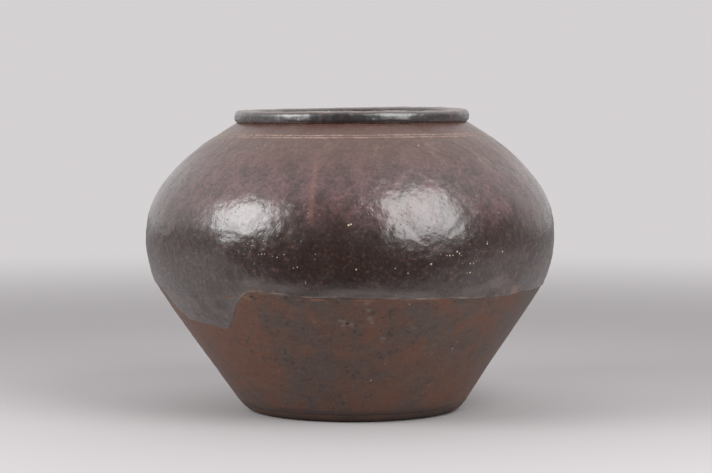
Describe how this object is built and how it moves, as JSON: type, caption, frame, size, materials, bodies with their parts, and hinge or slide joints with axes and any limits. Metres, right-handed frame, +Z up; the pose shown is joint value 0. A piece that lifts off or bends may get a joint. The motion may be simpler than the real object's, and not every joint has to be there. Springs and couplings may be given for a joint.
{
  "type": "onggi jar",
  "caption": "Wide round-bellied earthenware storage crock with an open mouth, thick rolled rim, flat base, dark glazed upper body and thinly washed lower body.",
  "frame": {"origin": "on the floor, under the jar's axis, at the middle of the flat base", "axes": "+Z up along the jar's axis; the jar is turned, so +X and +Y are free, and the picture looks along +Y"},
  "size_m": [0.4906, 0.4904, 0.3603],
  "materials": {
    "fired_clay": "matt fired clay",
    "lower_glaze": "thin satin wash",
    "upper_glaze": "glossy ash glaze",
    "rim_glaze": "glossy ash glaze",
    "inner_glaze": "glossy ash glaze"
  },
  "bodies": {
    "root": {"base_slab": "fired_clay", "heel_coil": "fired_clay", "lower_course_1": "fired_clay", "lower_course_2": "fired_clay", "lower_course_3": "fired_clay", "belly_course_1": "fired_clay", "belly_course_2": "fired_clay", "belly_course_3": "fired_clay", "shoulder_course_1": "fired_clay", "shoulder_course_2": "fired_clay", "collar_course": "fired_clay", "rim_coil": "fired_clay", "lower_glaze": "lower_glaze", "upper_glaze": "upper_glaze", "rim_glaze": "rim_glaze", "inner_glaze": "inner_glaze"}
  },
  "joints": []
}
